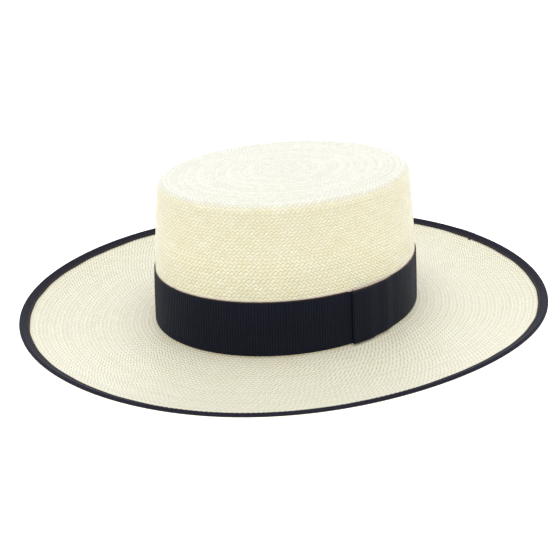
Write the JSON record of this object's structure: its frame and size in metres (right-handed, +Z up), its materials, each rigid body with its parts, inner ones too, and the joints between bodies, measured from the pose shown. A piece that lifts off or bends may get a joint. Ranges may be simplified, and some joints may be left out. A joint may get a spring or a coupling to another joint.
{
  "type": "panama hat",
  "caption": "Flat-crowned, wide-brimmed woven straw hat with a ribbed ribbon band, a bound brim edge, and a leather sweatband inside.",
  "frame": {"origin": "middle of the hat, on the surface that the underside of the brim rests on", "axes": "+Z up through the crown, -Y the way the wearer looks, +X towards the wearer's left, where the hat band's folded end lies"},
  "size_m": [0.3674, 0.4022, 0.1117],
  "materials": {
    "straw": "bleached toquilla straw, finely woven, matte with a slight sheen",
    "band_ribbon": "navy-black grosgrain ribbon with upright ribs",
    "binding_ribbon": "narrow navy-black grosgrain, folded over the edge",
    "binding_thread": "dark sewing thread",
    "band_thread": "black sewing thread",
    "pale_thread": "natural sewing thread",
    "sweatband_leather": "smooth tan leather, fine grain",
    "tape": "plain cotton tape",
    "reed": "round reed inside the welt",
    "bow_ribbon": "black satin ribbon"
  },
  "bodies": {
    "root": {"straw_body": "straw", "brim_binding": "binding_ribbon", "binding_thread": "binding_thread", "hat_band": "band_ribbon", "hat_band_tacks": "band_thread", "hat_band_lap_stitches": "band_thread", "sweatband": "sweatband_leather", "sweatband_thread": "pale_thread", "sweatband_joint_stitches": "pale_thread", "sweatband_joint_tab": "tape", "welt_tape": "tape", "welt_reed": "reed", "rear_bow": "bow_ribbon", "rear_bow_knot": "bow_ribbon"}
  },
  "joints": []
}
